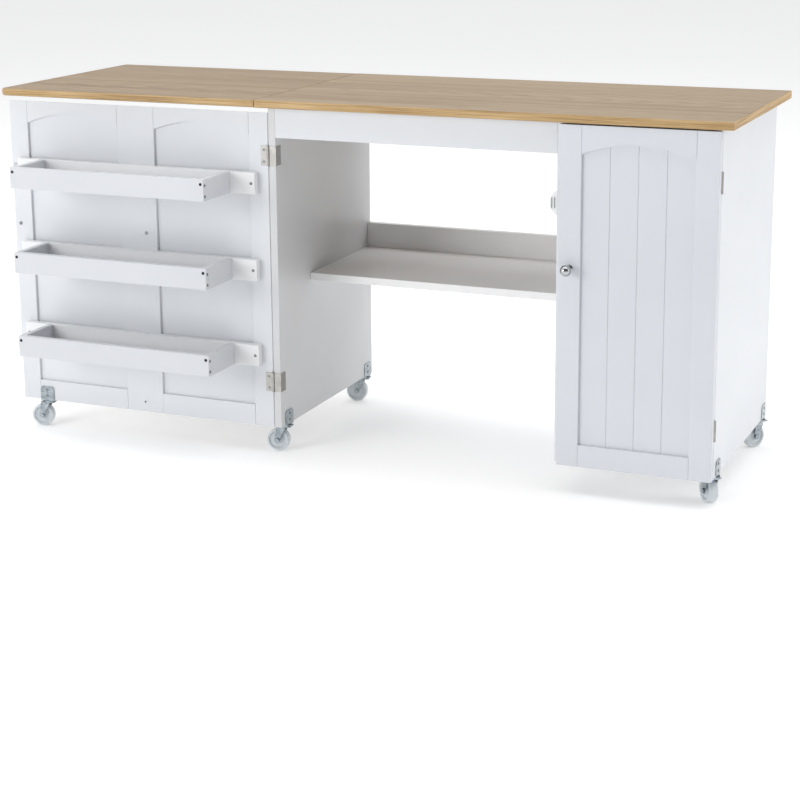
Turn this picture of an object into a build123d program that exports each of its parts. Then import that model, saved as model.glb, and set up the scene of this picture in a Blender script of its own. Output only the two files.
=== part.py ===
from build123d import *
from math import cos, radians, sin, sqrt
import os

# Folding sewing table, in millimetres. +Z is up, +X is the table's right as
# seen from the front, and the front faces -Y. The origin is on the floor,
# under the middle of the open table. It is modelled open: the drop leaf is
# level and the double door stands under it, swung out to the left.

# ---------------------------------------------------------------- sizes
table_length = 1502
table_depth = 486
table_height = 710
board = 15
leaf_length = 576
seam_gap = 0.9
corner_radius = 12
square_corner_radius = 1.5
leaf_rim_radius = 4
edge_break = 0.6
member_chamfer = 1.0

front_overhang = 20
left_overhang = 20
right_overhang = 23
panel_depth = 442
panel_bottom = 57
cabinet_inner_offset = 582
apron_height = 59
shelf_setback = 143
shelf_top = 343
shelf_rail_height = 52
cabinet_base = 97
cabinet_shelf_levels = (290, 480)
pin_radius = 2.5
pin_length = 16

door_gap = 2.4
double_door_width = 588
double_door_panel_width = 210
cabinet_door_width = 292
door_top_clearance = 3
leaf_clearance_inside = 10.7
leaf_clearance_outside = 18.3
stile_width = 42
bottom_rail_height = 42
arch_end_height = 640
arch_top_height = 660
door_panel = 5
groove_depth = 6
groove_clearance = 0.1
bead_spacing = 52
bead_depth = 1.1

bin_levels = (568, 396.5, 225)
bin_height = 42
bin_length = 434
bin_projection = 121
bin_board = 12
bin_bottom = 5
bin_bottom_lift = 2
bin_rail_length = 542

hinge_height = 38
hinge_levels = (149.5, 600.5)
hinge_plate = 1.1
hinge_leaf_width = 16
hinge_return = 20
knuckle_radius = 2.5
hinge_pin_radius = 1.0
pin_clearance = 0.05
part_clearance = 0.3
pin_head = 0.8
door_edge_gap = 0.5

leaf_hinge_length = 60
leaf_hinge_spacing = 165
leaf_knuckle_radius = 2.7
leaf_axis_drop = 3

wheel_radius = 23
wheel_width = 17
wheel_shoulder = 22
wheel_rim = 18.5
wheel_dish = 3
wheel_hub = 7
wheel_bore = 3.03
axle_radius = 2.95
caster_trail = 15
kingpin_radius = 3
kingpin_head = 5
kingpin_head_height = 2
crown_radius = 13
crown_race = 2
crown_length = 30
fork_leg_top = 18
fork_leg_end = 6
bolt_head_radius = 4.6
bolt_head_height = 2
fork_gap = 19
fork_plate = 2
bracket_width = 32
bracket_height = 31
bracket_plate = 2
bracket_corner = 6
front_stem_inset = 33
rear_stem_inset = 26
door_stem_inset = 58

knob_level = 430
knob_radius = 10.5
knob_reach = 20
catch_level = 546
catch_width = 14
catch_counterbore = 9

screw_head_radius = 3
screw_head_height = 0.8
screw_shank_radius = 1.4
screw_hole_radius = 1.5
stop_hole_radius = 2.4
stop_hole_depth = 10
stop_hole_height = 20.5
split_groove_width = 3
split_groove_depth = 3
flat_head_radius = 2.5
hinge_screw_step = 11.5
leaf_hinge_screw_step = 22
bin_end_screw_drops = (12, 33)
front_pin_inset = 50
rear_pin_inset = 60
pocket_radius = 6
pocket_depth = 4
knob_base_radius = 7.5
knob_base_height = 1.5
knob_neck_radius = 4
knob_neck_top = 14
pole_offset = 2.8
pole_clearance = 0.1
knuckle_gap = 0.2
pin_head_step = 0.4
screw_length = 6
long_screw_length = 22
catch_screw_length = 11

# ------------------------------------------------------- derived places
table_right = table_length / 2
table_left = -table_right
seam_x = table_left + leaf_length
underside = table_height - board
panel_front = (bin_projection + screw_head_height - (table_depth - front_overhang)) / 2
panel_back = panel_front + panel_depth
top_front = panel_front - front_overhang
top_back = top_front + table_depth

frame_left = seam_x + left_overhang
inner_left = frame_left + board
cabinet_left = frame_left + cabinet_inner_offset
cabinet_inside_left = cabinet_left + board
frame_right = table_right - right_overhang
cabinet_inside_right = frame_right - board

hinge_y = panel_front - door_gap / 2
double_axis_x = frame_left - door_edge_gap
cabinet_axis_x = frame_right + door_edge_gap
double_right = double_axis_x - door_edge_gap
double_left = double_right - double_door_width
double_middle = (double_left + double_right) / 2
first_panel_left = double_left + stile_width
second_panel_left = double_right - stile_width - double_door_panel_width
cabinet_door_left = frame_right - cabinet_door_width
cabinet_door_back = panel_front - door_gap
cabinet_door_front = cabinet_door_back - board
cabinet_panel_left = cabinet_door_left + stile_width
cabinet_panel_width = cabinet_door_width - 2 * stile_width
bottom_rail_top = panel_bottom + bottom_rail_height

front_stem_y = panel_front + front_stem_inset
rear_stem_y = panel_back - rear_stem_inset
left_stem_x = frame_left + board / 2
right_stem_x = frame_right - board / 2
door_stem_x = double_left + door_stem_inset
door_stem_y = panel_front + board / 2

TOWARDS_LEFT = (-1, 0, 0)
TOWARDS_RIGHT = (1, 0, 0)
TOWARDS_FRONT = (0, -1, 0)
TOWARDS_BACK = (0, 1, 0)
DOWN = (0, 0, -1)
ON_TOP = (Align.CENTER, Align.CENTER, Align.MIN)
BELOW = (Align.CENTER, Align.CENTER, Align.MAX)

os.makedirs("parts", exist_ok=True)


def save(piece, name):
    """Label a finished piece and write it under its node's name."""
    piece.part.label = name
    export_step(piece.part, f"parts/{name}.step")


def facing(point, normal):
    """A place on a surface, with its local Z along the surface's normal."""
    return Location(Plane(origin=point, z_dir=normal))


def plain_board(low, high, holes=(), hole_depth=screw_length + 1):
    """A rectangular board between two opposite corners, with broken edges and screw holes."""
    size = [b - a for a, b in zip(low, high)]
    middle = [(a + b) / 2 for a, b in zip(low, high)]
    with BuildPart() as piece:
        with Locations(tuple(middle)):
            Box(*size)
        chamfer(piece.edges(), length=edge_break)
        if holes:
            with Locations(*holes):
                Hole(radius=screw_hole_radius, depth=hole_depth)
    return piece


def make_screw(length, head_radius=screw_head_radius, head_height=screw_head_height):
    """A domed cross-head screw, its head resting on the plane Z = 0."""
    rim = head_height * 0.4
    with BuildPart() as screw:
        with BuildSketch(Plane.XZ):
            with BuildLine():
                Line((0, 0), (head_radius, 0))
                Line((head_radius, 0), (head_radius, rim))
                ThreePointArc((head_radius, rim), (head_radius * 0.6, head_height * 0.85), (0, head_height))
                Line((0, head_height), (0, 0))
            make_face()
        revolve(axis=Axis.Z)
        Cylinder(screw_shank_radius, length, align=BELOW)
        with Locations((0, 0, head_height)):
            for turn in (0, 90):
                Box(head_radius * 1.2, head_radius * 0.28, head_height * 1.2, rotation=(0, 0, turn),
                    mode=Mode.SUBTRACT)
    return screw.part


def make_countersunk_screw(length):
    """A flush cross-head screw for a hinge leaf, its head level with the plane Z = 0."""
    with BuildPart() as screw:
        with BuildSketch(Plane.XZ):
            with BuildLine():
                Polyline(
                    (0, 0),
                    (flat_head_radius, 0),
                    (screw_shank_radius, -hinge_plate),
                    (0, -hinge_plate),
                    close=True,
                )
            make_face()
        revolve(axis=Axis.Z)
        Cylinder(screw_shank_radius, length, align=BELOW)
        for turn in (0, 90):
            Box(3.0, 0.7, 1.0, rotation=(0, 0, turn), mode=Mode.SUBTRACT)
    return screw.part


short_screw = make_screw(screw_length)
long_screw = make_screw(long_screw_length)
catch_screw = make_screw(catch_screw_length)
flush_screw = make_countersunk_screw(screw_length)

# ------------------------------------------------------ screw positions
# Two screws in each hinge leaf, above and below its middle.
hinge_screw_heights = [level + step for level in hinge_levels for step in (-hinge_screw_step, hinge_screw_step)]
hinge_screw_inset = 12
plate_face = hinge_plate
double_plate_screws = [
    facing((double_axis_x - 9, panel_front - plate_face, z), TOWARDS_FRONT) for z in hinge_screw_heights
]
left_return_screws = [
    facing((inner_left + plate_face, panel_front + hinge_screw_inset, z), TOWARDS_RIGHT)
    for z in hinge_screw_heights
]
right_return_screws = [
    facing((cabinet_inside_right - plate_face, panel_front + hinge_screw_inset, z), TOWARDS_LEFT)
    for z in hinge_screw_heights
]
cabinet_plate_screws = [
    facing((cabinet_axis_x - 9, cabinet_door_back + plate_face, z), TOWARDS_BACK) for z in hinge_screw_heights
]
leaf_hinge_middles = [(top_front + top_back) / 2 + leaf_hinge_spacing * step for step in (-1, 0, 1)]
leaf_hinge_rows = [
    middle + step for middle in leaf_hinge_middles for step in (-leaf_hinge_screw_step, 0, leaf_hinge_screw_step)
]
top_hinge_screws = [facing((seam_x + 11, y, underside - plate_face), DOWN) for y in leaf_hinge_rows]
leaf_hinge_screws = [facing((seam_x - 11, y, underside - plate_face), DOWN) for y in leaf_hinge_rows]

# Each caster bracket has two screws, one above the other, in both of its plates.
bracket_screw_heights = (panel_bottom + 9, panel_bottom + 22)


def panel_bracket_screws(panel_middle_x, side, surface):
    """Bracket screws on one face of a side panel; surface 0 is the wood, 1 the plate."""
    x = panel_middle_x + side * (board / 2 + surface * bracket_plate)
    return [
        facing((x, y, z), (side, 0, 0))
        for y in (front_stem_y, rear_stem_y)
        for z in bracket_screw_heights
    ]


def door_bracket_screws(side, surface):
    """Bracket screws on one face of the double door's first bottom rail."""
    y = door_stem_y + side * (board / 2 + surface * bracket_plate)
    return [facing((door_stem_x, y, z), (0, side, 0)) for z in bracket_screw_heights]


def bin_screws(level):
    """The three groups of screws of one bin: in its rail, in its face and in its ends."""
    middle_z = level - bin_height / 2
    rail_y = panel_front - board
    face_y = panel_front - bin_projection
    rail = [
        facing((double_middle + side * (bin_rail_length / 2 - 8), rail_y, middle_z), TOWARDS_FRONT)
        for side in (-1, 1)
    ]
    face = [
        facing((double_middle + side * (bin_length / 2 - bin_board / 2), face_y, level - 9), TOWARDS_FRONT)
        for side in (-1, 1)
    ]
    ends = [
        facing((double_middle + side * bin_length / 2, face_y + bin_board / 2, level - drop), (side, 0, 0))
        for side in (-1, 1)
        for drop in bin_end_screw_drops
    ]
    return rail, face, ends


catch_screw_y = panel_front + 20
left_catch_screws = [
    facing((cabinet_left - catch_width, catch_screw_y, catch_level + step), TOWARDS_LEFT) for step in (-15, 15)
]
right_catch_screws = [
    facing((cabinet_inside_left + catch_width, catch_screw_y, catch_level + step), TOWARDS_RIGHT)
    for step in (-15, 15)
]

# ----------------------------------------------------------------- tops

def table_top(x_low, x_high, outer_side, corner, rim, holes):
    """One top board, with its two outer corners rounded in plan and its rims rounded over."""
    with BuildPart() as piece:
        with BuildSketch(Plane.XY.offset(underside)):
            with Locations(((x_low + x_high) / 2, (top_front + top_back) / 2)):
                Rectangle(x_high - x_low, table_depth)
        extrude(amount=board)
        outer_edges = piece.edges().filter_by(Axis.Z).group_by(Axis.X)[outer_side]
        fillet(outer_edges, radius=corner)
        seam_rims = piece.edges().filter_by(Axis.Y).group_by(Axis.X)[-1 - outer_side]
        outer_rims = piece.edges().filter_by(Plane.XY) - seam_rims
        fillet(outer_rims, radius=rim)
        with Locations(*holes):
            Hole(radius=screw_hole_radius, depth=screw_length + 1)
    return piece


fixed_top = table_top(seam_x + seam_gap, table_right, -1, square_corner_radius, edge_break, top_hinge_screws)
save(fixed_top, "fixed_top")
drop_leaf = table_top(table_left, seam_x - seam_gap, 0, corner_radius, leaf_rim_radius, leaf_hinge_screws)
save(drop_leaf, "drop_leaf")


# --------------------------------------------------------------- frame
shelf_pin_rows = (panel_front + front_pin_inset, panel_back - rear_pin_inset)


def shelf_pin_places(x, normal):
    """The places of the cabinet's shelf pins on one of its two inner walls."""
    return [
        facing((x, y, level - pin_radius), normal)
        for level in cabinet_shelf_levels
        for y in shelf_pin_rows
    ]


left_pin_places = shelf_pin_places(cabinet_inside_left, TOWARDS_RIGHT)
right_pin_places = shelf_pin_places(cabinet_inside_right, TOWARDS_LEFT)


def bore_for_pins(places):
    """Bore the blind holes that the shelf pins stand in."""
    with Locations(*places):
        Hole(radius=pin_radius + pin_clearance, depth=pin_length / 2)


def knuckle_relief(axis_x, axis_y):
    """Cut the shallow gains that the hinge knuckles turn in."""
    for level in hinge_levels:
        with Locations((axis_x, axis_y, level)):
            Cylinder(knuckle_radius + part_clearance, hinge_height + 2 * pin_head + 1, mode=Mode.SUBTRACT)


def stem_pocket(points):
    """Bore the pockets for the caster kingpins' heads in a board's bottom edge."""
    with Locations(*[facing((x, y, panel_bottom), DOWN) for x, y in points]):
        Hole(radius=pocket_radius, depth=pocket_depth)


def side_panel(axis_x, middle_x, holes):
    """An outer side panel: hinge gains at the front, caster pockets below."""
    with BuildPart() as piece:
        with Locations((middle_x, (panel_front + panel_back) / 2, (panel_bottom + underside) / 2)):
            Box(board, panel_depth, underside - panel_bottom)
        chamfer(piece.edges(), length=edge_break)
        knuckle_relief(axis_x, hinge_y)
        stem_pocket([(middle_x, front_stem_y), (middle_x, rear_stem_y)])
        with Locations(*holes):
            Hole(radius=screw_hole_radius, depth=screw_length + 1)
    return piece


left_side_panel = side_panel(
    double_axis_x, left_stem_x,
    left_return_screws + panel_bracket_screws(left_stem_x, 1, 0) + panel_bracket_screws(left_stem_x, -1, 0),
)
save(left_side_panel, "left_side_panel")

cabinet_outer_panel = side_panel(
    cabinet_axis_x, right_stem_x,
    right_return_screws + panel_bracket_screws(right_stem_x, 1, 0) + panel_bracket_screws(right_stem_x, -1, 0),
)
with cabinet_outer_panel:
    bore_for_pins(right_pin_places)
save(cabinet_outer_panel, "cabinet_outer_panel")

with BuildPart() as cabinet_inner_panel:
    with Locations((cabinet_left + board / 2, (panel_front + panel_back) / 2, (panel_bottom + underside) / 2)):
        Box(board, panel_depth, underside - panel_bottom)
    chamfer(cabinet_inner_panel.edges(), length=edge_break)
    bore_for_pins(left_pin_places)
    with Locations(*[place * Pos(0, 0, -catch_width) for place in left_catch_screws + right_catch_screws]):
        Hole(radius=screw_hole_radius, depth=screw_length + 1)
save(cabinet_inner_panel, "cabinet_inner_panel")

with BuildPart() as aprons:
    for apron_y in (panel_front + board / 2, panel_back - board / 2):
        with Locations(((inner_left + cabinet_left) / 2, apron_y, underside - apron_height / 2)):
            Box(cabinet_left - inner_left, board, apron_height)
    chamfer(aprons.edges(), length=edge_break)
save(aprons, "aprons")

kneehole_shelf = plain_board(
    (inner_left, panel_front + shelf_setback, shelf_top - board), (cabinet_left, panel_back, shelf_top)
)
save(kneehole_shelf, "kneehole_shelf")

shelf_back_rail = plain_board(
    (inner_left, panel_back - board, shelf_top), (cabinet_left, panel_back, shelf_top + shelf_rail_height)
)
save(shelf_back_rail, "shelf_back_rail")

cabinet_bottom = plain_board(
    (cabinet_inside_left, panel_front, cabinet_base),
    (cabinet_inside_right, panel_back - board, cabinet_base + board),
)
save(cabinet_bottom, "cabinet_bottom")

cabinet_back = plain_board(
    (cabinet_inside_left, panel_back - board, cabinet_base), (cabinet_inside_right, panel_back, underside)
)
save(cabinet_back, "cabinet_back")

with BuildPart() as cabinet_shelves:
    shelf_middle_x = (cabinet_inside_left + cabinet_inside_right) / 2
    shelf_depth = panel_depth - board - 40
    for level in cabinet_shelf_levels:
        with Locations((shelf_middle_x, panel_back - board - 1 - shelf_depth / 2, level + board / 2)):
            Box(cabinet_inside_right - cabinet_inside_left - 1, shelf_depth, board)
    chamfer(cabinet_shelves.edges(), length=edge_break)
save(cabinet_shelves, "cabinet_shelves")

with BuildPart() as shelf_pins:
    with Locations(*left_pin_places, *right_pin_places):
        Cylinder(pin_radius, pin_length, align=(Align.CENTER, Align.CENTER, Align.CENTER))
save(shelf_pins, "shelf_pins")


# --------------------------------------------------------- door hinges
def knuckle(axis_x, level, part, radius):
    """One third of a hinge's knuckle, or two: part is "middle" or "ends"."""
    third = hinge_height / 3
    heights = [level] if part == "middle" else [level - third, level + third]
    with Locations(*[(axis_x, hinge_y, z) for z in heights]):
        Cylinder(radius, third - knuckle_gap)


def knuckle_room(axis_x, level, part):
    """Clear the space in a hinge leaf where the other leaf's knuckle turns."""
    third = hinge_height / 3
    heights = [level] if part == "middle" else [level - third, level + third]
    with Locations(*[(axis_x, hinge_y, z) for z in heights]):
        Cylinder(knuckle_radius + part_clearance, third + knuckle_gap, mode=Mode.SUBTRACT)


def frame_hinge_leaf(axis_x, side, level):
    """Wrap-around leaf: across the panel's front edge and back along its inner face."""
    outer = axis_x
    inner = axis_x + side * (door_edge_gap + board)
    with BuildSketch(Plane.XY.offset(level - hinge_height / 2)) as profile:
        with BuildLine():
            Polyline(
                (outer, panel_front),
                (inner, panel_front),
                (inner, panel_front + hinge_return),
                (inner + side * hinge_plate, panel_front + hinge_return),
                (inner + side * hinge_plate, panel_front - hinge_plate),
                (outer, panel_front - hinge_plate),
                close=True,
            )
        make_face()
    extrude(profile.sketch, amount=hinge_height)
    knuckle_room(axis_x, level, "middle")
    knuckle(axis_x, level, "ends", knuckle_radius)


def flat_hinge_leaf(axis_x, face_y, level):
    """Flat leaf on the door, running from the knuckle towards -X."""
    with Locations((axis_x - hinge_leaf_width / 2, face_y, level)):
        Box(hinge_leaf_width, hinge_plate, hinge_height)
    knuckle_room(axis_x, level, "ends")
    knuckle(axis_x, level, "middle", knuckle_radius)


def bore_hinge(axis_x, screw_places):
    """Bore the knuckles for the pin and countersink the leaf for its screws."""
    for level in hinge_levels:
        with Locations((axis_x, hinge_y, level)):
            Cylinder(hinge_pin_radius + pin_clearance, hinge_height + 2, mode=Mode.SUBTRACT)
    with Locations(*screw_places):
        CounterSinkHole(radius=screw_hole_radius, counter_sink_radius=2.6, depth=hinge_plate + 1)


with BuildPart() as door_hinge_frame_leaves:
    for hinge_level in hinge_levels:
        frame_hinge_leaf(double_axis_x, 1, hinge_level)
        frame_hinge_leaf(cabinet_axis_x, -1, hinge_level)
    bore_hinge(double_axis_x, left_return_screws)
    bore_hinge(cabinet_axis_x, right_return_screws)
save(door_hinge_frame_leaves, "door_hinge_frame_leaves")

with BuildPart() as double_door_hinge_leaves:
    for hinge_level in hinge_levels:
        flat_hinge_leaf(double_axis_x, panel_front - hinge_plate / 2, hinge_level)
    bore_hinge(double_axis_x, double_plate_screws)
save(double_door_hinge_leaves, "double_door_hinge_leaves")

with BuildPart() as cabinet_door_hinge_leaves:
    for hinge_level in hinge_levels:
        flat_hinge_leaf(cabinet_axis_x, cabinet_door_back + hinge_plate / 2, hinge_level)
    bore_hinge(cabinet_axis_x, cabinet_plate_screws)
    with Locations(*cabinet_plate_screws):
        add(flush_screw)
save(cabinet_door_hinge_leaves, "cabinet_door_hinge_leaves")

with BuildPart() as hinge_pins:
    for axis_x in (double_axis_x, cabinet_axis_x):
        for hinge_level in hinge_levels:
            with Locations((axis_x, hinge_y, hinge_level)):
                Cylinder(hinge_pin_radius, hinge_height)
            cap_offset = (hinge_height + pin_head) / 2
            with Locations(
                (axis_x, hinge_y, hinge_level - cap_offset), (axis_x, hinge_y, hinge_level + cap_offset)
            ):
                Cylinder(knuckle_radius - pin_head_step, pin_head)
    leaf_cap_offset = (leaf_hinge_length + pin_head) / 2
    for middle_y in leaf_hinge_middles:
        with Locations(facing((seam_x, middle_y, underside - leaf_axis_drop), TOWARDS_BACK)):
            Cylinder(hinge_pin_radius, leaf_hinge_length)
        with Locations(
            facing((seam_x, middle_y - leaf_cap_offset, underside - leaf_axis_drop), TOWARDS_BACK),
            facing((seam_x, middle_y + leaf_cap_offset, underside - leaf_axis_drop), TOWARDS_BACK),
        ):
            Cylinder(leaf_knuckle_radius - pin_head_step, pin_head)
save(hinge_pins, "hinge_pins")


# --------------------------------------------------------- leaf hinges
def leaf_hinge_half(side, part, screw_places):
    """The half of each leaf hinge on one side of the seam, under its board."""
    other = "ends" if part == "middle" else "middle"
    third = leaf_hinge_length / 3
    rows = {"middle": [0], "ends": [-third, third]}
    axis_z = underside - leaf_axis_drop
    with BuildPart() as piece:
        for middle_y in leaf_hinge_middles:
            with Locations((seam_x + side * hinge_leaf_width / 2, middle_y, underside - hinge_plate / 2)):
                Box(hinge_leaf_width, leaf_hinge_length, hinge_plate)
            with Locations(*[facing((seam_x, middle_y + y, axis_z), TOWARDS_BACK) for y in rows[other]]):
                Cylinder(leaf_knuckle_radius + part_clearance, third + knuckle_gap, mode=Mode.SUBTRACT)
            with Locations(*[facing((seam_x, middle_y + y, axis_z), TOWARDS_BACK) for y in rows[part]]):
                Cylinder(leaf_knuckle_radius, third - knuckle_gap)
            with Locations(facing((seam_x, middle_y, axis_z), TOWARDS_BACK)):
                Cylinder(hinge_pin_radius + pin_clearance, leaf_hinge_length + 2, mode=Mode.SUBTRACT)
        with Locations(*screw_places):
            CounterSinkHole(radius=screw_hole_radius, counter_sink_radius=2.6, depth=hinge_plate + 1)
    return piece


leaf_hinge_top_halves = leaf_hinge_half(1, "ends", top_hinge_screws)
save(leaf_hinge_top_halves, "leaf_hinge_top_halves")

leaf_hinge_leaf_halves = leaf_hinge_half(-1, "middle", leaf_hinge_screws)
with leaf_hinge_leaf_halves:
    with Locations(*leaf_hinge_screws):
        add(flush_screw)
save(leaf_hinge_leaf_halves, "leaf_hinge_leaf_halves")


# ------------------------------------------------- door frames and panels
def arched_outline(x_low, x_high, grow, mode=Mode.ADD):
    """A door panel's outline: straight sides and foot, arched head, grown all round."""
    half = (x_high - x_low) / 2
    middle = (x_low + x_high) / 2
    rise = arch_top_height - arch_end_height
    radius = (half**2 + rise**2) / (2 * rise)
    centre_z = arch_top_height - radius
    side = half + grow
    end_z = centre_z + sqrt((radius + grow) ** 2 - side**2)
    foot_z = bottom_rail_top - grow
    with BuildLine() as outline:
        Polyline((middle - side, end_z), (middle - side, foot_z), (middle + side, foot_z), (middle + side, end_z))
        ThreePointArc((middle + side, end_z), (middle, arch_top_height + grow), (middle - side, end_z))
    make_face(outline.edges(), mode=mode)


def front_plane(y):
    """A vertical plane at y, seen from the front: local X is +X and local Y is +Z."""
    return Plane(origin=(0, y, 0), x_dir=(1, 0, 0), z_dir=(0, -1, 0))


def cut_panel_groove(x_low, x_high, front_y):
    """Plough the groove that holds a door panel's edge."""
    groove_back = front_y + (board + door_panel) / 2 + groove_clearance
    with BuildSketch(front_plane(groove_back)) as outline:
        arched_outline(x_low, x_high, groove_depth + groove_clearance)
    extrude(outline.sketch, amount=door_panel + 2 * groove_clearance, mode=Mode.SUBTRACT)


def bevel_under_leaf():
    """Plane the double door's top edge so that it clears the leaf as both move."""
    fall = leaf_clearance_outside - leaf_clearance_inside
    plane = Plane(
        origin=(0, panel_front, underside - leaf_clearance_inside),
        x_dir=(1, 0, 0),
        z_dir=(0, fall, board),
    )
    split(bisect_by=plane, keep=Keep.BOTTOM)


def door_upright(x_low, x_high, front_y, top_z):
    """A plain upright member of a door, standing on the door's bottom line."""
    with Locations(((x_low + x_high) / 2, front_y + board / 2, (panel_bottom + top_z) / 2)):
        Box(x_high - x_low, board, top_z - panel_bottom)


def break_edges(piece):
    """Chamfer the upright edges of a door member, so that the joints beside it show as fine grooves."""
    chamfer(piece.edges().filter_by(Axis.Z), length=member_chamfer)


def door_panel_piece(x_low, x_high, front_y, bead_side):
    """A thin panel in its groove, with V-shaped beads on the face at bead_side."""
    panel_middle_y = front_y + board / 2
    face_y = panel_middle_y + bead_side * door_panel / 2
    beads = int((x_high - x_low) / bead_spacing + 0.5) - 1
    middle = (x_low + x_high) / 2
    bead_xs = [middle + bead_spacing * (step - (beads - 1) / 2) for step in range(beads)]
    with BuildSketch(front_plane(panel_middle_y + door_panel / 2)) as outline:
        arched_outline(x_low, x_high, groove_depth - groove_clearance)
    extrude(outline.sketch, amount=door_panel)
    with BuildSketch(Plane.XY.offset(bottom_rail_top - groove_depth - 1)) as bead_lines:
        with Locations(*[(x, face_y) for x in bead_xs]):
            Rectangle(bead_depth * sqrt(2), bead_depth * sqrt(2), rotation=45)
    bead_length = arch_top_height - bottom_rail_top + 2 * groove_depth + 2
    extrude(bead_lines.sketch, amount=bead_length, mode=Mode.SUBTRACT)


def bottom_rail(x_low, x_high, front_y):
    """A door's bottom rail, between two uprights."""
    with Locations(((x_low + x_high) / 2, front_y + board / 2, (panel_bottom + bottom_rail_top) / 2)):
        Box(x_high - x_low, board, bottom_rail_height)
    cut_panel_groove(x_low, x_high, front_y)


def top_rail(x_low, x_high, front_y, top_z):
    """A door's arched top rail, between two uprights."""
    with BuildSketch(front_plane(front_y + board)) as rail:
        with Locations(((x_low + x_high) / 2, (arch_end_height + top_z) / 2)):
            Rectangle(x_high - x_low, top_z - arch_end_height)
        arched_outline(x_low, x_high, 0, mode=Mode.SUBTRACT)
    extrude(rail.sketch, amount=board)
    cut_panel_groove(x_low, x_high, front_y)


# ---------------------------------------------------------- double door
double_top = underside - leaf_clearance_inside + 1
first_panel_right = first_panel_left + double_door_panel_width
second_panel_right = second_panel_left + double_door_panel_width
double_panels = ((first_panel_left, first_panel_right), (second_panel_left, second_panel_right))
free_knob_x = double_left + 13.5
middle_knob_x = double_middle + 17
all_rail_screws = [place for level in bin_levels for place in bin_screws(level)[0]]
all_face_screws = [place for level in bin_levels for place in bin_screws(level)[1]]
all_end_screws = [place for level in bin_levels for place in bin_screws(level)[2]]
wood_behind_rail = long_screw_length - board


def door_screw_holes(x_low, x_high):
    """Pilot holes in the door's inner face for the bin rails' screws that fall on this member."""
    for place in all_rail_screws:
        if x_low < place.position.X < x_high:
            with Locations(facing((place.position.X, panel_front, place.position.Z), TOWARDS_FRONT)):
                Hole(radius=screw_hole_radius, depth=wood_behind_rail + 1)


def knob_hole(x, face_y):
    """A clearance hole for a knob's screw, right through a door member."""
    with Locations(facing((x, face_y, knob_level), TOWARDS_FRONT)):
        Hole(radius=2.2)


with BuildPart() as double_door_free_stile:
    door_upright(double_left, first_panel_left, panel_front, double_top)
    break_edges(double_door_free_stile)
    bevel_under_leaf()
    cut_panel_groove(first_panel_left, first_panel_right, panel_front)
    door_screw_holes(double_left, first_panel_left)
    knob_hole(free_knob_x, panel_front)
save(double_door_free_stile, "double_door_free_stile")

with BuildPart() as double_door_middle_stile:
    door_upright(first_panel_right, second_panel_left, panel_front, double_top)
    break_edges(double_door_middle_stile)
    bevel_under_leaf()
    cut_panel_groove(first_panel_left, first_panel_right, panel_front)
    cut_panel_groove(second_panel_left, second_panel_right, panel_front)
    knob_hole(middle_knob_x, panel_front)
    with Locations(facing((double_middle, panel_front, panel_bottom + stop_hole_height), TOWARDS_FRONT)):
        Hole(radius=stop_hole_radius, depth=stop_hole_depth)
    # The groove down the outer face that makes the one door look like two.
    with BuildSketch(Plane.XY.offset(panel_bottom - 1)):
        with Locations((double_middle, panel_front + board)):
            Rectangle(split_groove_width, 2 * split_groove_depth)
    extrude(amount=table_height, mode=Mode.SUBTRACT)
save(double_door_middle_stile, "double_door_middle_stile")

with BuildPart() as double_door_hinge_stile:
    door_upright(second_panel_right, double_right, panel_front, double_top)
    break_edges(double_door_hinge_stile)
    bevel_under_leaf()
    cut_panel_groove(second_panel_left, second_panel_right, panel_front)
    knuckle_relief(double_axis_x, hinge_y)
    door_screw_holes(second_panel_right, double_right)
    with Locations(*double_plate_screws):
        Hole(radius=screw_hole_radius, depth=screw_length + 1)
save(double_door_hinge_stile, "double_door_hinge_stile")

with BuildPart() as double_door_top_rails:
    for panel_low, panel_high in double_panels:
        top_rail(panel_low, panel_high, panel_front, double_top)
    bevel_under_leaf()
save(double_door_top_rails, "double_door_top_rails")

with BuildPart() as double_door_bottom_rails:
    for panel_low, panel_high in double_panels:
        bottom_rail(panel_low, panel_high, panel_front)
    stem_pocket([(door_stem_x, door_stem_y)])
    with Locations(*door_bracket_screws(1, 0), *door_bracket_screws(-1, 0)):
        Hole(radius=screw_hole_radius, depth=screw_length + 1)
save(double_door_bottom_rails, "double_door_bottom_rails")

with BuildPart() as double_door_panels:
    for panel_low, panel_high in double_panels:
        door_panel_piece(panel_low, panel_high, panel_front, 1)
save(double_door_panels, "double_door_panels")

# --------------------------------------------------------- cabinet door
cabinet_door_top = underside - door_top_clearance
cabinet_panel_right = cabinet_panel_left + cabinet_panel_width
cabinet_knob_x = cabinet_door_left + stile_width / 2

with BuildPart() as cabinet_door_stiles:
    door_upright(cabinet_door_left, cabinet_panel_left, cabinet_door_front, cabinet_door_top)
    door_upright(cabinet_panel_right, frame_right, cabinet_door_front, cabinet_door_top)
    break_edges(cabinet_door_stiles)
    cut_panel_groove(cabinet_panel_left, cabinet_panel_right, cabinet_door_front)
    knuckle_relief(cabinet_axis_x, hinge_y)
    knob_hole(cabinet_knob_x, cabinet_door_front)
    with Locations(*cabinet_plate_screws):
        Hole(radius=screw_hole_radius, depth=screw_length + 1)
save(cabinet_door_stiles, "cabinet_door_stiles")

with BuildPart() as cabinet_door_top_rail:
    top_rail(cabinet_panel_left, cabinet_panel_right, cabinet_door_front, cabinet_door_top)
save(cabinet_door_top_rail, "cabinet_door_top_rail")

with BuildPart() as cabinet_door_bottom_rail:
    bottom_rail(cabinet_panel_left, cabinet_panel_right, cabinet_door_front)
save(cabinet_door_bottom_rail, "cabinet_door_bottom_rail")

with BuildPart() as cabinet_door_panel:
    door_panel_piece(cabinet_panel_left, cabinet_panel_right, cabinet_door_front, -1)
save(cabinet_door_panel, "cabinet_door_panel")


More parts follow.
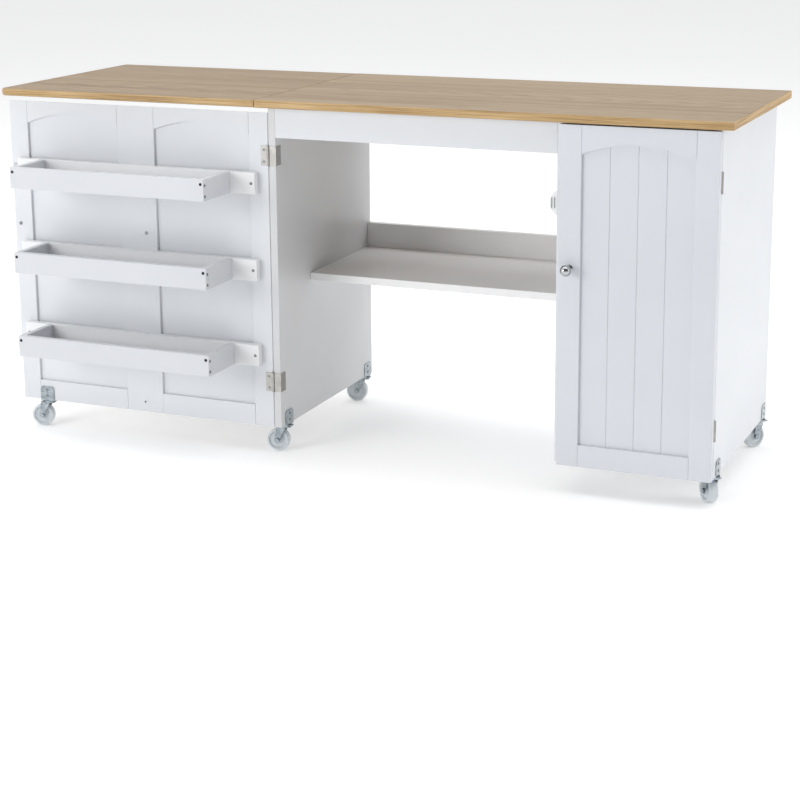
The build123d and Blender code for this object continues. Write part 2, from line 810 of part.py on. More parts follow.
# ---------------------------------------------------------------- knobs
def make_knob():
    """A ball knob on a small flared foot, standing on the plane Z = 0, bored for its screw."""
    with BuildPart() as knob:
        with BuildSketch(Plane.XZ):
            with BuildLine():
                Polyline(
                    (0, 0),
                    (knob_base_radius, 0),
                    (knob_base_radius, knob_base_height),
                    (knob_neck_radius, knob_neck_radius),
                    (knob_neck_radius, knob_neck_top),
                    (0, knob_neck_top),
                    close=True,
                )
            make_face()
        revolve(axis=Axis.Z)
        with Locations((0, 0, knob_reach)):
            Sphere(knob_radius)
        with Locations(facing((0, 0, 0), DOWN)):
            Hole(radius=2.05, depth=12)
    return knob.part


def make_knob_screw():
    """The knob's machine screw, its head under the plane Z = -board."""
    with BuildPart() as screw:
        with Locations((0, 0, -board)):
            Cylinder(2, board + 11, align=ON_TOP)
            Cylinder(3.6, 1.1, align=BELOW)
        with Locations((0, 0, -board - 1.1)):
            Box(4.4, 0.9, 1.2, mode=Mode.SUBTRACT)
            Box(0.9, 4.4, 1.2, mode=Mode.SUBTRACT)
    return screw.part


knob_part = make_knob()
knob_screw_part = make_knob_screw()

with BuildPart() as double_door_knobs:
    with Locations(
        facing((free_knob_x, panel_front + board, knob_level), TOWARDS_BACK),
        facing((middle_knob_x, panel_front + board, knob_level), TOWARDS_BACK),
    ):
        add(knob_part)
        add(knob_screw_part)
save(double_door_knobs, "double_door_knobs")

with BuildPart() as cabinet_door_knob:
    with Locations(facing((cabinet_knob_x, cabinet_door_front, knob_level), TOWARDS_FRONT)):
        add(knob_part)
        add(knob_screw_part)
save(cabinet_door_knob, "cabinet_door_knob")

# ----------------------------------------------- catches and strike plates
catch_height = 45
catch_depth = 28
pole_width = 1.2
pole_height = 20
pole_depth = 8
pole_proud = 1.0
strike_width = 13
strike_height = 17
strike_thickness = 1.2
catch_middles = (cabinet_left - catch_width / 2, cabinet_inside_left + catch_width / 2)
pole_places = [
    (middle + step, panel_front - pole_proud + pole_depth / 2, catch_level)
    for middle in catch_middles
    for step in (-pole_offset, pole_offset)
]

with BuildPart() as magnetic_catches:
    for wall_x, outward in ((cabinet_left, -1), (cabinet_inside_left, 1)):
        with BuildSketch(front_plane(panel_front + catch_depth)):
            with BuildLine():
                low_end = (wall_x, catch_level - catch_height / 2)
                high_end = (wall_x, catch_level + catch_height / 2)
                ThreePointArc(low_end, (wall_x + outward * catch_width, catch_level), high_end)
                Line(high_end, low_end)
            make_face()
        extrude(amount=catch_depth)
    with Locations(*pole_places):
        Box(pole_width + pole_clearance, pole_depth + pole_clearance, pole_height + pole_clearance,
            mode=Mode.SUBTRACT)
    with Locations(*left_catch_screws, *right_catch_screws):
        CounterBoreHole(radius=1.7, counter_bore_radius=3.4, counter_bore_depth=catch_counterbore, depth=catch_width)
save(magnetic_catches, "magnetic_catches")

with BuildPart() as catch_pole_plates:
    with Locations(*pole_places):
        Box(pole_width, pole_depth, pole_height)
save(catch_pole_plates, "catch_pole_plates")


def strike_plate(middle_x, face_y, normal):
    """A thin steel plate on a door's inner face, held by one small screw."""
    with Locations(facing((middle_x, face_y, catch_level + 3), normal)):
        Box(strike_width, strike_height, strike_thickness, align=ON_TOP)


double_strike_x = 2 * double_axis_x - catch_middles[0]

with BuildPart() as double_door_strike_plate:
    strike_plate(double_strike_x, panel_front, TOWARDS_FRONT)
    chamfer(double_door_strike_plate.edges().filter_by(Axis.Y), length=1.5)
save(double_door_strike_plate, "double_door_strike_plate")

with BuildPart() as cabinet_door_strike_plate:
    strike_plate(catch_middles[1], cabinet_door_back, TOWARDS_BACK)
    chamfer(cabinet_door_strike_plate.edges().filter_by(Axis.Y), length=1.5)
save(cabinet_door_strike_plate, "cabinet_door_strike_plate")

# ----------------------------------------------------------------- bins
bin_left = double_middle - bin_length / 2
bin_right = double_middle + bin_length / 2
bin_back = panel_front - board
bin_front = panel_front - bin_projection
rail_left = double_middle - bin_rail_length / 2
rail_right = double_middle + bin_rail_length / 2

for number, level in enumerate(bin_levels, start=1):
    rail_screws, face_screws, end_screws = bin_screws(level)
    foot = level - bin_height

    back_rail = plain_board((rail_left, bin_back, foot), (rail_right, panel_front, level), rail_screws, board)
    save(back_rail, f"bin_{number}_back_rail")

    front_rail = plain_board(
        (bin_left, bin_front, foot), (bin_right, bin_front + bin_board, level), face_screws, bin_board
    )
    with front_rail:
        with Locations(*end_screws):
            Hole(radius=screw_hole_radius, depth=screw_length + 1)
    save(front_rail, f"bin_{number}_front_rail")

    with BuildPart() as bin_sides:
        for side in (-1, 1):
            side_x = double_middle + side * (bin_length - bin_board) / 2
            side_y = (bin_front + bin_board + bin_back) / 2
            with Locations((side_x, side_y, foot + bin_height / 2)):
                Box(bin_board, bin_back - bin_front - bin_board, bin_height)
        chamfer(bin_sides.edges(), length=edge_break)
        with Locations(*[place * Pos(0, 0, -bin_board) for place in face_screws]):
            Hole(radius=screw_hole_radius, depth=long_screw_length)
    save(bin_sides, f"bin_{number}_sides")

    bottom_board = plain_board(
        (bin_left + bin_board, bin_front + bin_board, foot + bin_bottom_lift),
        (bin_right - bin_board, bin_back, foot + bin_bottom_lift + bin_bottom),
    )
    save(bottom_board, f"bin_{number}_bottom")


# -------------------------------------------------------------- casters
def make_bracket(screw_heights):
    """A steel U straddling a board's bottom edge at the origin, the board's faces across X."""
    outside = board / 2 + bracket_plate
    with BuildPart() as bracket:
        with BuildSketch(Plane.YZ.offset(-outside)):
            with Locations((0, bracket_height / 2 - bracket_plate)):
                Rectangle(bracket_width, bracket_height)
        extrude(amount=2 * outside)
        top_edges = bracket.edges().filter_by(Axis.X).group_by(Axis.Z)[-1]
        fillet(top_edges, radius=bracket_corner)
        with Locations((0, 0, bracket_height)):
            Box(board, bracket_width + 2, 2 * bracket_height, mode=Mode.SUBTRACT)
        with Locations((0, 0, 0)):
            Cylinder(kingpin_radius + part_clearance, 3 * bracket_plate, mode=Mode.SUBTRACT)
        for height in screw_heights:
            with Locations(Location((0, 0, height), (0, 90, 0))):
                Cylinder(screw_hole_radius, 3 * outside, mode=Mode.SUBTRACT)
    return bracket.part


def make_fork():
    """A caster fork at its kingpin, trailing towards +X; the axle bolt is a second solid."""
    crown_top = panel_bottom - bracket_plate - part_clearance
    plate_top = crown_top - crown_race
    stem_length = bracket_plate + 2 * part_clearance
    leg_middle = fork_gap / 2 + fork_plate / 2
    with BuildPart() as fork:
        with Locations((0, 0, crown_top)):
            Cylinder(crown_radius, crown_race, align=BELOW)
        with Locations((0, 0, crown_top)):
            Cylinder(kingpin_radius, stem_length, align=ON_TOP)
        with Locations((0, 0, crown_top + stem_length)):
            Cylinder(kingpin_head, kingpin_head_height, align=ON_TOP)
        with BuildSketch(Plane.XY.offset(plate_top - fork_plate)):
            with Locations((crown_length / 2 - crown_radius, 0)):
                RectangleRounded(crown_length, fork_gap + 2 * fork_plate, edge_break)
        extrude(amount=fork_plate)
        for side in (-1, 1):
            with BuildSketch(Plane.XZ.offset(-side * leg_middle - fork_plate / 2)):
                with Locations((caster_trail / 2, plate_top - fork_plate)):
                    Rectangle(fork_leg_top, 2 * fork_plate)
                with Locations((caster_trail, wheel_radius)):
                    Circle(fork_leg_end)
                make_hull()
            extrude(amount=fork_plate)
        with Locations(Location((caster_trail, 0, wheel_radius), (90, 0, 0))):
            Cylinder(axle_radius + pin_clearance, 3 * fork_gap, mode=Mode.SUBTRACT)
    with BuildPart() as axle:
        with Locations(Location((caster_trail, 0, wheel_radius), (90, 0, 0))):
            Cylinder(axle_radius, fork_gap + 2 * fork_plate + 2 * pin_clearance)
        for side in (-1, 1):
            head_y = side * (fork_gap / 2 + fork_plate + pin_clearance + bolt_head_height / 2)
            with Locations(Location((caster_trail, head_y, wheel_radius), (90, 0, 0))):
                Cylinder(bolt_head_radius, bolt_head_height)
    return Compound(children=[fork.part, axle.part])


def make_wheel():
    """A moulded wheel at the origin, its axle along Y: crowned tread, dished sides, proud hub."""
    half = wheel_width / 2
    hub_half = fork_gap / 2 - part_clearance
    with BuildPart() as wheel:
        with BuildSketch(Plane.XY):
            with BuildLine():
                Polyline(
                    (wheel_bore, hub_half),
                    (wheel_hub, hub_half),
                    (wheel_hub + 1, half - wheel_dish),
                    (wheel_rim - 2, half - wheel_dish),
                    (wheel_rim, half),
                    (wheel_shoulder, half),
                )
                ThreePointArc((wheel_shoulder, half), (wheel_radius, 0), (wheel_shoulder, -half))
                Polyline(
                    (wheel_shoulder, -half),
                    (wheel_rim, -half),
                    (wheel_rim - 2, wheel_dish - half),
                    (wheel_hub + 1, wheel_dish - half),
                    (wheel_hub, -hub_half),
                    (wheel_bore, -hub_half),
                    (wheel_bore, hub_half),
                )
            make_face()
        revolve(axis=Axis.Y)
    return wheel.part


panel_bracket = make_bracket([height - panel_bottom for height in bracket_screw_heights])
frame_stems = [(x, y) for x in (left_stem_x, right_stem_x) for y in (front_stem_y, rear_stem_y)]

with BuildPart() as frame_caster_brackets:
    with Locations(*[(x, y, panel_bottom) for x, y in frame_stems]):
        add(panel_bracket)
save(frame_caster_brackets, "frame_caster_brackets")

with BuildPart() as door_caster_bracket:
    with Locations(Location((door_stem_x, door_stem_y, panel_bottom), (0, 0, 90))):
        add(panel_bracket)
save(door_caster_bracket, "door_caster_bracket")

# Where each caster stands, and the direction its wheel trails in at rest.
casters = {
    "left_front": (left_stem_x, front_stem_y, 186),
    "left_rear": (left_stem_x, rear_stem_y, 190),
    "right_front": (right_stem_x, front_stem_y, 131),
    "right_rear": (right_stem_x, rear_stem_y, 235),
    "door": (door_stem_x, door_stem_y, 192),
}
fork_part = make_fork()
wheel_part = make_wheel()

for corner, (stem_x, stem_y, heading) in casters.items():
    with BuildPart() as caster_fork:
        with Locations(Location((stem_x, stem_y, 0), (0, 0, heading))):
            add(fork_part)
    save(caster_fork, f"caster_fork_{corner}")

    wheel_x = stem_x + caster_trail * cos(radians(heading))
    wheel_y = stem_y + caster_trail * sin(radians(heading))
    with BuildPart() as caster_wheel:
        with Locations(Location((wheel_x, wheel_y, wheel_radius), (0, 0, heading))):
            add(wheel_part)
    save(caster_wheel, f"caster_wheel_{corner}")

# --------------------------------------------------------------- screws
with BuildPart() as frame_screws:
    with Locations(*left_return_screws, *right_return_screws, *top_hinge_screws):
        add(flush_screw)
    with Locations(
        *[
            place
            for middle_x in (left_stem_x, right_stem_x)
            for side in (-1, 1)
            for place in panel_bracket_screws(middle_x, side, 1)
        ]
    ):
        add(short_screw)
    with Locations(*[place * Pos(0, 0, -catch_counterbore) for place in left_catch_screws + right_catch_screws]):
        add(catch_screw)
save(frame_screws, "frame_screws")

with BuildPart() as double_door_screws:
    with Locations(*double_plate_screws):
        add(flush_screw)
    with Locations(*door_bracket_screws(1, 1), *door_bracket_screws(-1, 1), *all_end_screws):
        add(short_screw)
    with Locations(*all_rail_screws, *all_face_screws):
        add(long_screw)
save(double_door_screws, "double_door_screws")
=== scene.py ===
"""A folding sewing table, raised and open: the CAD nodes with their finishes, on a pale studio floor."""
import math

import bmesh
import bpy
from mathutils import Matrix, Vector


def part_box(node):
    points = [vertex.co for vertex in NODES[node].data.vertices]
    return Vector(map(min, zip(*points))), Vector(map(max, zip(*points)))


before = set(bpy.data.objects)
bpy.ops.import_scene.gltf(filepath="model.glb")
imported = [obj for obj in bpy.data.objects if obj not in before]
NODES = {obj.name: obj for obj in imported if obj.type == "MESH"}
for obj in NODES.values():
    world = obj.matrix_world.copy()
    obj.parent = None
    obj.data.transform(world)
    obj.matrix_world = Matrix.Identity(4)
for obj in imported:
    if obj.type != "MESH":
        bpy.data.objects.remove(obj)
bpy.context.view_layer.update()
CASTERS = ("left_front", "left_rear", "right_front", "right_rear", "door")


# ---------------------------------------------------------------- camera

CAMERA_PLACE = Vector((1.46774, -3.33075, 1.14507))
CAMERA_YAW = -0.40400
CAMERA_PITCH = -0.22181
CAMERA_ROLL = -0.00760
CAMERA_LENS = 83.735
CAMERA_SHIFT = -0.145


def make_camera():
    """The camera, from its heading round Z, its tilt from the horizon and its small roll."""
    flat_right = Vector((math.cos(CAMERA_YAW), -math.sin(CAMERA_YAW), 0))
    heading = Vector((math.sin(CAMERA_YAW), math.cos(CAMERA_YAW), 0))
    up = Vector((0, 0, 1))
    forward = heading * math.cos(CAMERA_PITCH) + up * math.sin(CAMERA_PITCH)
    level_up = up * math.cos(CAMERA_PITCH) - heading * math.sin(CAMERA_PITCH)
    right = flat_right * math.cos(CAMERA_ROLL) + level_up * math.sin(CAMERA_ROLL)
    true_up = level_up * math.cos(CAMERA_ROLL) - flat_right * math.sin(CAMERA_ROLL)
    data = bpy.data.cameras.new("camera")
    data.lens = CAMERA_LENS
    data.sensor_width = 36
    data.shift_y = CAMERA_SHIFT
    data.clip_start = 0.05
    data.clip_end = 100
    camera = bpy.data.objects.new("camera", data)
    bpy.context.collection.objects.link(camera)
    turn = Matrix((right, true_up, -forward)).transposed()
    camera.matrix_world = Matrix.Translation(CAMERA_PLACE) @ turn.to_4x4()
    bpy.context.scene.camera = camera


# ---------------------------------------------------------------- material tools

class Nodes:
    """A material under construction: each call adds a shader node and returns the output it names."""

    def __init__(self, name):
        self.material = bpy.data.materials.new(name)
        self.material.use_nodes = True
        self.tree = self.material.node_tree
        self.shader = self.tree.nodes["Principled BSDF"]
        self.place = self.add("ShaderNodeTexCoord").outputs["Object"]
        self.normal = self.add("ShaderNodeTexCoord").outputs["Normal"]

    def add(self, kind, **settings):
        node = self.tree.nodes.new(kind)
        for key, value in settings.items():
            setattr(node, key, value)
        return node

    def put(self, socket, value):
        if isinstance(value, bpy.types.NodeSocket):
            self.tree.links.new(value, socket)
        else:
            socket.default_value = value

    def math(self, operation, a, b=0.0):
        node = self.add("ShaderNodeMath", operation=operation)
        self.put(node.inputs[0], a)
        self.put(node.inputs[1], b)
        return node.outputs[0]

    def stretch(self, scale, shift=(0, 0, 0)):
        node = self.add("ShaderNodeMapping")
        self.put(node.inputs["Vector"], self.place)
        node.inputs["Location"].default_value = shift
        node.inputs["Scale"].default_value = scale
        return node.outputs[0]

    def noise(self, vector, scale=1.0, detail=2.0, roughness=0.5, distortion=0.0):
        node = self.add("ShaderNodeTexNoise")
        self.put(node.inputs["Vector"], vector)
        node.inputs["Scale"].default_value = scale
        node.inputs["Detail"].default_value = detail
        node.inputs["Roughness"].default_value = roughness
        node.inputs["Distortion"].default_value = distortion
        return node.outputs["Fac"]

    def span(self, value, low, high, to_low=0.0, to_high=1.0):
        node = self.add("ShaderNodeMapRange", clamp=True)
        self.put(node.inputs["Value"], value)
        node.inputs["From Min"].default_value = low
        node.inputs["From Max"].default_value = high
        node.inputs["To Min"].default_value = to_low
        node.inputs["To Max"].default_value = to_high
        return node.outputs["Result"]

    def ramp(self, value, *stops):
        node = self.add("ShaderNodeValToRGB")
        self.put(node.inputs["Fac"], value)
        points = node.color_ramp.elements
        while len(points) < len(stops):
            points.new(0.5)
        for point, (position, colour) in zip(points, stops):
            point.position = position
            point.color = (*colour, 1)
        return node.outputs["Color"]

    def mix(self, amount, a, b):
        node = self.add("ShaderNodeMix", data_type="RGBA")
        self.put(node.inputs["Factor"], amount)
        for socket, value in ((node.inputs[6], a), (node.inputs[7], b)):
            self.put(socket, value if isinstance(value, bpy.types.NodeSocket) else (*value, 1))
        return node.outputs[2]

    def parts(self, vector):
        node = self.add("ShaderNodeSeparateXYZ")
        self.put(node.inputs[0], vector)
        return node.outputs

    def bump(self, height, depth, base=None):
        node = self.add("ShaderNodeBump")
        self.put(node.inputs["Height"], height)
        node.inputs["Distance"].default_value = depth
        if base is not None:
            self.put(node.inputs["Normal"], base)
        return node.outputs["Normal"]

    def finish(self, colour, roughness, normal, **sockets):
        self.put(self.shader.inputs["Base Color"], colour)
        self.put(self.shader.inputs["Roughness"], roughness)
        if normal is not None:
            self.put(self.shader.inputs["Normal"], normal)
        for name, value in sockets.items():
            self.shader.inputs[name.replace("_", " ")].default_value = value
        return self.material


# ---------------------------------------------------------------- finishes

RINGS_PER_METRE = 84.0


def oak_laminate(name, heart_y, heart_tilt, shift, lift):
    """Light oak: growth rings cut by the face into long arches, with streaks and fine pores.

    The rings run round a heart line at heart_y, tilted by heart_tilt; lift pales the whole face. The square
    edges carry a plainer, more golden band with its own fine lines.
    """
    m = Nodes(name)
    slow = m.noise(m.stretch((0.8, 4.0, 4.0), shift), detail=1.0)
    wander = m.math("MULTIPLY", m.math("SUBTRACT", slow, 0.5), 0.07)
    x, y, _ = m.parts(m.place)
    across = m.math("ADD", m.math("SUBTRACT", y, heart_y), wander)
    below = m.math("ADD", m.math("MULTIPLY", x, heart_tilt), 0.06)
    squares = m.math("ADD", m.math("MULTIPLY", across, across), m.math("MULTIPLY", below, below))
    radius = m.math("SQRT", squares)
    ripple = m.noise(m.stretch((1.6, 22.0, 22.0), shift), detail=3.0, roughness=0.55)
    rings = m.math("ADD", m.math("MULTIPLY", radius, RINGS_PER_METRE), m.math("MULTIPLY", ripple, 1.3))
    ring = m.math("FRACT", rings)
    late_wood = m.math("MULTIPLY", m.span(ring, 0.40, 0.92), m.span(ring, 1.0, 0.92))
    broad = m.noise(m.stretch((0.7, 19.0, 19.0), shift), detail=2.0, roughness=0.5)
    streak = m.noise(m.stretch((2.2, 150.0, 150.0), shift), detail=4.0, roughness=0.65)
    pore_noise = m.noise(m.stretch((15.0, 640.0, 640.0), shift), detail=1.5, roughness=0.5)
    pore = m.math("MULTIPLY", m.span(pore_noise, 0.565, 0.68), m.span(late_wood, 0.0, 0.6, 0.45, 1.0))

    pale, middle, dark = (0.420, 0.318, 0.208), (0.305, 0.220, 0.135), (0.170, 0.112, 0.060)
    face = m.ramp(streak, (0.34, dark), (0.50, middle), (0.66, pale))
    face = m.mix(m.span(broad, 0.38, 0.62, 0.0, 0.60), face, (0.400, 0.305, 0.205))
    face = m.mix(m.math("MULTIPLY", late_wood, 0.26), face, (0.190, 0.124, 0.068))
    face = m.mix(m.math("MULTIPLY", pore, 0.55), face, (0.100, 0.064, 0.036))
    face = m.mix(lift, face, (0.520, 0.420, 0.300))

    band_streak = m.noise(m.stretch((5.0, 5.0, 640.0), shift), detail=4.0, roughness=0.7)
    band_dark, band_middle, band_pale = (0.270, 0.160, 0.062), (0.480, 0.320, 0.150), (0.620, 0.445, 0.235)
    band = m.ramp(band_streak, (0.36, band_dark), (0.5, band_middle), (0.66, band_pale))
    facing_up = m.math("ABSOLUTE", m.parts(m.normal)[2])
    colour = m.mix(m.span(facing_up, 0.55, 0.85), band, face)

    roughness = m.span(m.math("ADD", m.math("MULTIPLY", pore, 0.5), streak), 0.2, 1.1, 0.42, 0.58)
    grain = m.math("SUBTRACT", m.math("MULTIPLY", streak, 0.35), m.math("MULTIPLY", pore, 0.65))
    return m.finish(colour, roughness, m.bump(grain, 0.00014), Specular_IOR_Level=0.26)


def painted_board(name, tint, peel=1.0):
    """Cool white satin paint over board: faint orange peel, slow roller waviness and cloudy gloss."""
    m = Nodes(name)
    cloud = m.noise(m.stretch((2.3, 2.3, 2.9)), scale=1.0, detail=3.0, roughness=0.55)
    speck = m.noise(m.place, scale=420.0, detail=2.0, roughness=0.6)
    low = tuple(0.965 * part for part in tint)
    high = tuple(min(0.9, 1.02 * part) for part in tint)
    colour = m.mix(m.span(cloud, 0.32, 0.68), low, high)
    colour = m.mix(m.span(speck, 0.62, 0.80, 0.0, 0.06), colour, tuple(0.82 * part for part in tint))
    smear = m.noise(m.stretch((5.0, 5.0, 9.0)), scale=1.0, detail=4.0, roughness=0.6)
    roughness = m.span(smear, 0.3, 0.7, 0.34, 0.46)
    peel_bump = m.bump(m.noise(m.place, scale=520.0, detail=1.5), 0.00005 * peel)
    normal = m.bump(m.noise(m.stretch((14, 14, 14)), scale=1.0, detail=1.0), 0.00030 * peel, base=peel_bump)
    return m.finish(colour, roughness, normal, Specular_IOR_Level=0.45)


def plated_steel(name, bright, dull, roughness, brush, metallic=1.0, plus_x_painted_shade=0.0):
    """Plated steel: fine brushing along one direction over a cloudy, slightly spotted plating, with optional
    painted shade on faces turned towards +X.
    """
    m = Nodes(name)
    lines = m.noise(m.stretch(brush), scale=1.0, detail=3.0, roughness=0.7)
    cloud = m.noise(m.place, scale=95.0, detail=3.0, roughness=0.6)
    spots = m.noise(m.place, scale=700.0, detail=1.0)
    amount = m.math("ADD", m.math("MULTIPLY", lines, 0.45), m.math("MULTIPLY", cloud, 0.55))
    colour = m.mix(m.span(amount, 0.3, 0.7), dull, bright)
    colour = m.mix(m.span(spots, 0.66, 0.76, 0.0, 0.35), colour, tuple(0.5 * part for part in dull))
    # Painted shade: faces turned towards +X are darkened by this amount, standing in for the shade on that
    # side.
    if plus_x_painted_shade:
        plus_x_shade_mask = m.span(m.parts(m.normal)[0], 0.5, 0.9, 0.0, plus_x_painted_shade)
        colour = m.mix(plus_x_shade_mask, colour, tuple(0.38 * part for part in dull))
    gloss = m.span(amount, 0.3, 0.7, roughness + 0.08, roughness - 0.05)
    return m.finish(colour, gloss, m.bump(lines, 0.00004), Metallic=metallic)


def two_tone_screw(name, front_y):
    """Grey steel screws, but black oxide ones wherever the head stands in front of front_y."""
    m = Nodes(name)
    cloud = m.noise(m.place, scale=400.0, detail=2.0)
    grey = m.mix(m.span(cloud, 0.3, 0.7), (0.17, 0.17, 0.175), (0.32, 0.32, 0.33))
    black = m.mix(m.span(cloud, 0.3, 0.7), (0.012, 0.012, 0.014), (0.030, 0.030, 0.033))
    in_front = m.math("LESS_THAN", m.parts(m.place)[1], front_y)
    return m.finish(m.mix(in_front, grey, black), m.span(cloud, 0.3, 0.7, 0.48, 0.36),
                    m.bump(m.noise(m.place, scale=900.0), 0.00003), Metallic=0.7)


def chrome_ball(name, screw_front=None):
    """Chrome with faint polish marks and cloudy smudges; steel-blue screw heads in front of screw_front."""
    m = Nodes(name)
    smudge = m.noise(m.place, scale=120.0, detail=3.0, roughness=0.6)
    colour = m.mix(m.span(smudge, 0.35, 0.7), (0.50, 0.51, 0.53), (0.37, 0.38, 0.40))
    gloss = m.span(smudge, 0.4, 0.75, 0.05, 0.16)
    if screw_front is not None:
        colour = m.mix(m.math("LESS_THAN", m.parts(m.place)[1], screw_front), colour, (0.20, 0.215, 0.235))
    return m.finish(colour, gloss, m.bump(m.noise(m.place, scale=900.0), 0.00001), Metallic=1.0)


def milky_plastic(name):
    """The casters' pale plastic: cloudy, slightly see-through, with flow marks and a scuffed tread."""
    m = Nodes(name)
    flow = m.noise(m.stretch((60, 60, 25)), scale=1.0, detail=3.0, roughness=0.6, distortion=0.6)
    colour = m.mix(m.span(flow, 0.3, 0.7), (0.58, 0.625, 0.655), (0.70, 0.735, 0.76))
    height = m.parts(m.place)[2]
    marks = m.span(m.noise(m.place, scale=260.0, detail=4.0), 0.5, 0.68)
    scuff = m.math("MULTIPLY", marks, m.span(height, 0.012, 0.0))
    colour = m.mix(m.math("MULTIPLY", scuff, 0.35), colour, (0.40, 0.40, 0.39))
    gloss = m.span(flow, 0.3, 0.7, 0.26, 0.40)
    normal = m.bump(m.noise(m.place, scale=600.0, detail=2.0), 0.00005)
    return m.finish(colour, gloss, normal, Subsurface_Weight=0.25, Subsurface_Radius=(0.004, 0.0045, 0.005),
                    Subsurface_Scale=1.0)


def moulded_plastic(name, tint):
    """A white moulded catch housing with a fine spark-eroded texture."""
    m = Nodes(name)
    texture = m.noise(m.place, scale=1500.0, detail=2.0)
    cloud = m.noise(m.place, scale=60.0, detail=2.0)
    colour = m.mix(m.span(cloud, 0.3, 0.7), tuple(0.95 * part for part in tint), tint)
    return m.finish(colour, m.span(cloud, 0.3, 0.7, 0.36, 0.46), m.bump(texture, 0.00003))


def dress_nodes():
    """Gives every CAD node its finish."""
    board = painted_board("white_board", (0.700, 0.718, 0.748))
    # Painted light: a lighter copy of the white board for the shelf, its back rail and the cabinet's inner
    # boards, lifting the shade they lie in.
    inner_board_painted_light = painted_board("white_board_inside_painted_light", (0.870, 0.870, 0.872), peel=0.8)
    # Painted shade: a darker copy of the white board for the left side panel, standing in for the shade
    # inside the kneehole.
    kneehole_shaded_board = painted_board("white_board_kneehole_painted_shade", (0.640, 0.643, 0.650))
    # Painted shade: a darker, slightly bluer copy of the white board for the cabinet door, standing in for
    # its dimmer light.
    cupboard_door_shaded_board = painted_board("white_board_door_painted_shade", (0.645, 0.665, 0.705))
    # Painted shade: a darker copy of the white board for the bin fronts and sides, toning down how brightly
    # they are lit.
    bins_shaded_board = painted_board("white_board_bins_painted_shade", (0.625, 0.640, 0.668), peel=0.8)
    # Painted light: a lighter copy of the white board for the bins' back rails and bottoms, lifting the shade
    # inside the bins.
    bin_inside_lit_board = painted_board("white_board_bin_inside_painted_light", (0.800, 0.808, 0.820), peel=0.8)
    oak_top = oak_laminate("oak_laminate_top", heart_y=0.03, heart_tilt=0.16, shift=(0, 0, 0), lift=0.14)
    oak_leaf = oak_laminate(
        "oak_laminate_leaf", heart_y=-0.06, heart_tilt=-0.13, shift=(3.7, 1.9, 0.4), lift=0.02
    )
    # The nickel hinges carry painted shade on their +X faces.
    nickel = plated_steel(
        "nickel_hinge", (0.52, 0.505, 0.48), (0.34, 0.33, 0.31), 0.36, (900, 900, 60), plus_x_painted_shade=0.7
    )
    zinc = plated_steel("zinc_bracket", (0.52, 0.575, 0.61), (0.16, 0.19, 0.21), 0.20, (60, 60, 700))
    dark_steel = plated_steel("catch_steel", (0.30, 0.31, 0.32), (0.17, 0.175, 0.18), 0.42, (700, 60, 700))
    strike = plated_steel("strike_steel", (0.46, 0.47, 0.49), (0.33, 0.34, 0.36), 0.36, (60, 900, 900))
    screw = plated_steel("screw_steel", (0.30, 0.30, 0.31), (0.15, 0.15, 0.155), 0.40, (800, 800, 800))
    door_screw = two_tone_screw("door_screw_steel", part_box("bin_1_front_rail")[0].y + 0.004)
    pin = plated_steel("shelf_pin_steel", (0.55, 0.56, 0.57), (0.38, 0.39, 0.40), 0.30, (60, 900, 900))
    chrome = chrome_ball("chrome_knob")
    door_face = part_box("double_door_free_stile")[0].y
    double_chrome = chrome_ball("chrome_double_knob", screw_front=door_face + 0.0005)
    wheel = milky_plastic("wheel_plastic")
    catch = moulded_plastic("catch_plastic", (0.80, 0.82, 0.83))
    finishes = {
        "fixed_top": oak_top, "drop_leaf": oak_leaf, "left_side_panel": kneehole_shaded_board,
        "kneehole_shelf": inner_board_painted_light, "shelf_back_rail": inner_board_painted_light,
        "cabinet_shelves": inner_board_painted_light, "cabinet_bottom": inner_board_painted_light, "cabinet_back": inner_board_painted_light,
        "door_hinge_frame_leaves": nickel, "leaf_hinge_top_halves": nickel, "hinge_pins": nickel,
        "leaf_hinge_leaf_halves": nickel, "double_door_hinge_leaves": nickel,
        "cabinet_door_hinge_leaves": nickel,
        "frame_caster_brackets": zinc, "door_caster_bracket": zinc,
        "double_door_knobs": double_chrome, "cabinet_door_knob": chrome,
        "magnetic_catches": catch, "catch_pole_plates": dark_steel,
        "double_door_strike_plate": strike, "cabinet_door_strike_plate": strike,
        "frame_screws": screw, "double_door_screws": door_screw, "shelf_pins": pin,
    }
    for caster in CASTERS:
        finishes[f"caster_fork_{caster}"] = zinc
        finishes[f"caster_wheel_{caster}"] = wheel
    for name, node in NODES.items():
        finish = finishes.get(name)
        if finish is None and name.startswith("bin_"):
            finish = bin_inside_lit_board if name.endswith(("back_rail", "bottom")) else bins_shaded_board
        elif finish is None:
            finish = cupboard_door_shaded_board if name.startswith("cabinet_door_") else board
        if node.material_slots:
            node.material_slots[0].material = finish
        else:
            node.data.materials.append(finish)


# ---------------------------------------------------------------- studio

FLOOR_HALF_SIZE = 60
FLOOR_GLOW = 0.20


def make_floor():
    """A very wide, pale, faintly glowing floor with a soft contact shadow under the table."""
    mesh = bpy.data.meshes.new("floor")
    shape = bmesh.new()
    bmesh.ops.create_grid(shape, x_segments=1, y_segments=1, size=FLOOR_HALF_SIZE)
    shape.to_mesh(mesh)
    shape.free()
    floor = bpy.data.objects.new("floor", mesh)
    bpy.context.collection.objects.link(floor)
    m = Nodes("studio_floor")
    cloud = m.noise(m.place, scale=0.6, detail=2.0)
    m.shader.inputs["Emission Color"].default_value = (1, 1, 1, 1)
    m.shader.inputs["Emission Strength"].default_value = FLOOR_GLOW
    colour = m.mix(m.span(cloud, 0.3, 0.7), (0.925, 0.925, 0.925), (0.94, 0.94, 0.94))
    mesh.materials.append(m.finish(colour, m.span(cloud, 0.3, 0.7, 0.75, 0.85), None, Specular_IOR_Level=0.1))


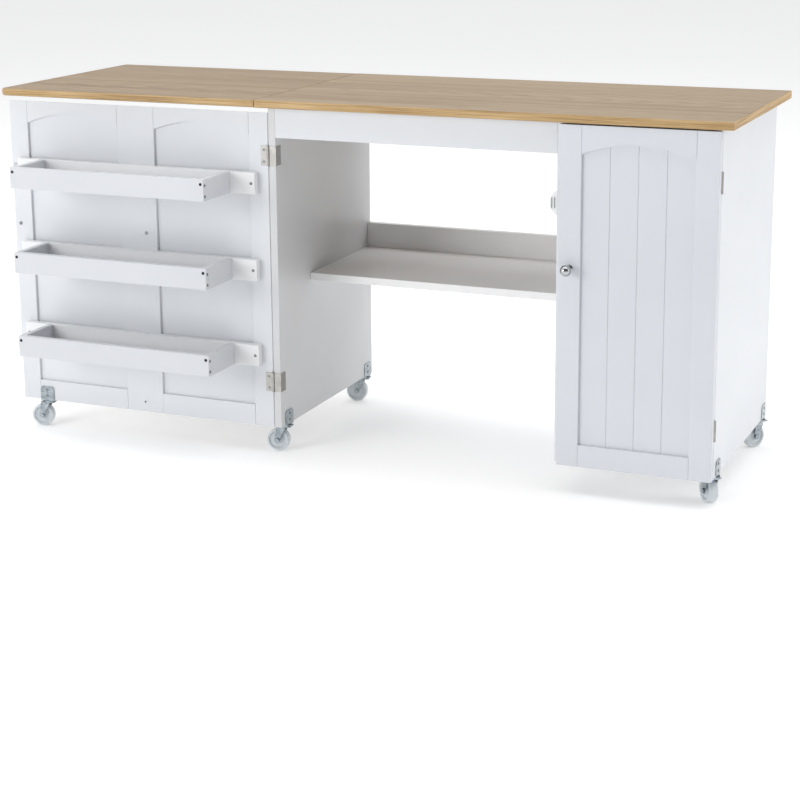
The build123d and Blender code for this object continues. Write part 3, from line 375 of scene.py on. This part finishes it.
def soft_light(name, place, target, size, power):
    """A rectangular area light at place, turned towards target."""
    data = bpy.data.lights.new(name, "AREA")
    data.shape = "RECTANGLE"
    data.size, data.size_y = size
    data.energy = power
    light = bpy.data.objects.new(name, data)
    bpy.context.collection.objects.link(light)
    light.location = place
    light.rotation_mode = "QUATERNION"
    light.rotation_quaternion = (Vector(target) - Vector(place)).to_track_quat("-Z", "Y")


def surround(tree):
    """White walls, dimmer to the front right and the back, with a dark doorway for metal to reflect."""
    place = tree.nodes.new("ShaderNodeTexCoord").outputs["Generated"]

    def towards(direction, low, high, to_low, to_high):
        dot = tree.nodes.new("ShaderNodeVectorMath")
        dot.operation = "DOT_PRODUCT"
        dot.inputs[1].default_value = Vector(direction).normalized()
        tree.links.new(place, dot.inputs[0])
        span = tree.nodes.new("ShaderNodeMapRange")
        span.interpolation_type = "SMOOTHSTEP"
        for name, value in (("From Min", low), ("From Max", high), ("To Min", to_low), ("To Max", to_high)):
            span.inputs[name].default_value = value
        tree.links.new(dot.outputs["Value"], span.inputs["Value"])
        return span.outputs["Result"]

    def times(a, b):
        node = tree.nodes.new("ShaderNodeMath")
        node.operation = "MULTIPLY"
        tree.links.new(a, node.inputs[0])
        tree.links.new(b, node.inputs[1])
        return node.outputs[0]

    front_right = towards((0.75, -0.65, 0.0), -0.6, 0.9, 0.98, 0.66)
    back = towards((0.0, 1.0, -0.1), 0.1, 0.8, 1.0, 0.68)
    doorway = towards((0.30, -0.93, 0.21), 0.55, 0.80, 1.0, 0.22)
    strength = times(times(front_right, back), doorway)
    sky = tree.nodes["Background"]
    sky.inputs["Color"].default_value = (0.985, 0.992, 1.0, 1)
    tree.links.new(strength, sky.inputs["Strength"])


def make_studio():
    """The floor, the surroundings and three soft lights, shown with plain colour handling."""
    make_floor()
    world = bpy.data.worlds.new("studio")
    bpy.context.scene.world = world
    world.use_nodes = True
    surround(world.node_tree)
    soft_light("left_front", (-2.3, -3.6, 1.5), (-0.3, 0, 0.4), (2.2, 1.6), 63)
    soft_light("right", (3.8, 0.5, 1.5), (0.7, 0, 0.35), (2.0, 1.8), 28)
    soft_light("over", (0.0, 0.2, 4.6), (0, 0, 0), (6.0, 5.0), 118)
    bpy.context.scene.view_settings.view_transform = "Standard"
    bpy.context.scene.view_settings.look = "None"
    bpy.context.scene.view_settings.exposure = 0.0


make_camera()
dress_nodes()
make_studio()
